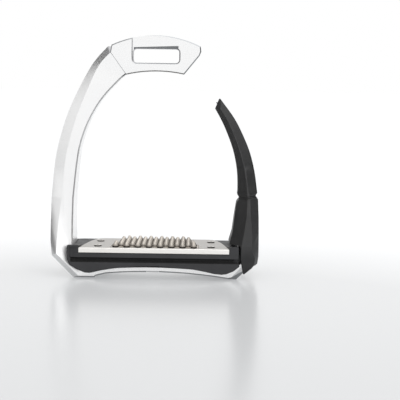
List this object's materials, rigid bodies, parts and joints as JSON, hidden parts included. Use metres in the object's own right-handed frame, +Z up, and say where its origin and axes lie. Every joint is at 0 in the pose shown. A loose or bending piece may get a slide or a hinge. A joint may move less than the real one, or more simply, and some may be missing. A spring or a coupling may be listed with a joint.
{
  "type": "stirrup iron",
  "caption": "Open-sided safety stirrup iron with a C-shaped frame, a studded tread and a hinged release arm that springs back to rest.",
  "frame": {"origin": "on the ground, under the centre of the stirrup's bounding box", "axes": "+Z up to the strap slot, front faces -Y, release arm on the +X side"},
  "size_m": [0.1552, 0.055, 0.1797],
  "materials": {
    "aluminium": "satin silver",
    "plate_steel": "satin",
    "grip_steel": "blasted",
    "black_polymer": "matte, lightly textured",
    "arm_polymer": "matte, lightly textured",
    "screw_steel": "bright",
    "brass": "turned",
    "spring_steel": "drawn wire",
    "rubber": "matte"
  },
  "bodies": {
    "frame": {"frame": "aluminium", "tread_body": "black_polymer", "tread_plate": "plate_steel", "grip_insert": "grip_steel", "plate_screw_front_left": "screw_steel", "plate_screw_front_right": "screw_steel", "plate_screw_rear_left": "screw_steel", "plate_screw_rear_right": "screw_steel", "threaded_insert_front_left": "brass", "threaded_insert_front_right": "brass", "threaded_insert_rear_left": "brass", "threaded_insert_rear_right": "brass", "base_screw_left": "screw_steel", "base_screw_right": "screw_steel", "stop_bumper": "rubber", "hinge_bush_front": "brass", "hinge_bush_rear": "brass"},
    "arm": {"arm_lower_shell": "arm_polymer", "arm_upper_shell": "arm_polymer", "arm_core": "rubber", "hinge_pin": "screw_steel", "hinge_pin_screw": "screw_steel", "return_spring": "spring_steel", "core_screw_lower": "screw_steel", "core_screw_upper": "screw_steel"}
  },
  "joints": [
    {"name": "arm_hinge", "type": "hinge", "parent": "frame", "child": "arm", "pos_m": [0.0694, 0, 0.014], "axis": [0, 1, 0], "range_deg": [0, 55], "stiffness_Nm_per_rad": 0.6, "springref_deg": -20.05}
  ]
}
